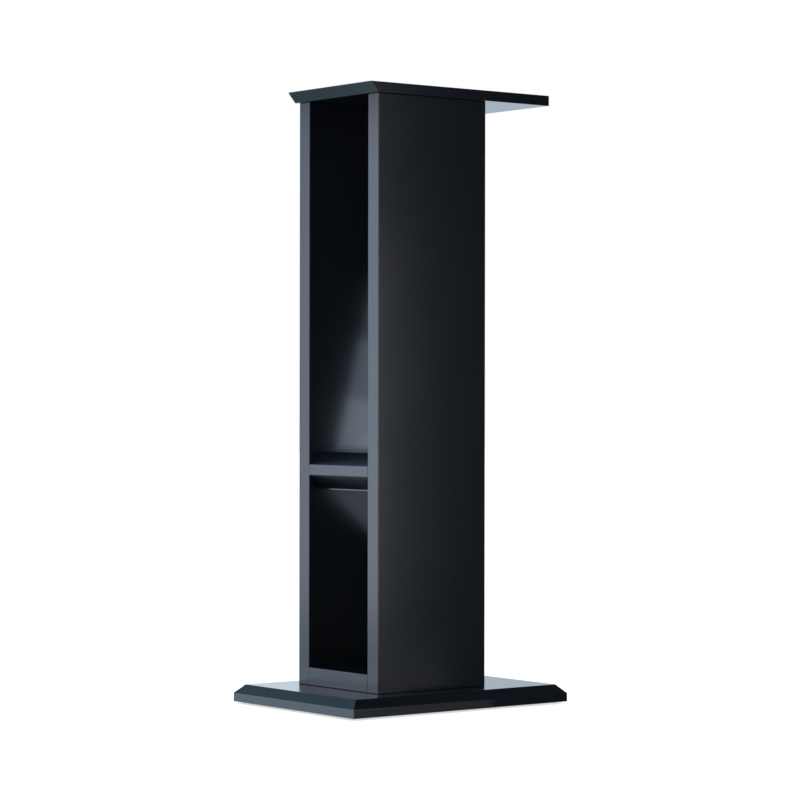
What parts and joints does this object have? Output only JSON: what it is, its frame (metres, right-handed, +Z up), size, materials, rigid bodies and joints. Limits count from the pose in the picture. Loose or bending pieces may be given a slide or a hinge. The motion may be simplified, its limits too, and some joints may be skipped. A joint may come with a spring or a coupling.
{
  "type": "speaker stand",
  "caption": "Floor stand for a bookshelf speaker: an open box column with a middle brace, on a chamfered base, under a top plate that reaches out on one side.",
  "frame": {"origin": "on the floor, under the middle of the base", "axes": "+Z up; +X across the column; -Y towards the short, bevelled end of the top plate; +Y towards the long overhang of the top plate"},
  "size_m": [0.212, 0.282, 0.642],
  "materials": {
    "black_lacquered_board": "satin black lacquer on medium density fibreboard",
    "beech_dowel": "bare fluted beech",
    "zinc_plated_steel": "bright zinc plate",
    "black_rubber": "matt moulded rubber"
  },
  "bodies": {
    "root": {"base_plate": "black_lacquered_board", "side_panel_minus_x": "black_lacquered_board", "side_panel_plus_x": "black_lacquered_board", "bottom_board": "black_lacquered_board", "middle_brace": "black_lacquered_board", "top_plate": "black_lacquered_board", "brace_dowels": "beech_dowel", "bottom_dowels": "beech_dowel", "base_screws": "zinc_plated_steel", "board_screws": "zinc_plated_steel", "top_screws": "zinc_plated_steel", "pad_minus_x_minus_y": "black_rubber", "pad_minus_x_plus_y": "black_rubber", "pad_plus_x_minus_y": "black_rubber", "pad_plus_x_plus_y": "black_rubber"}
  },
  "joints": []
}
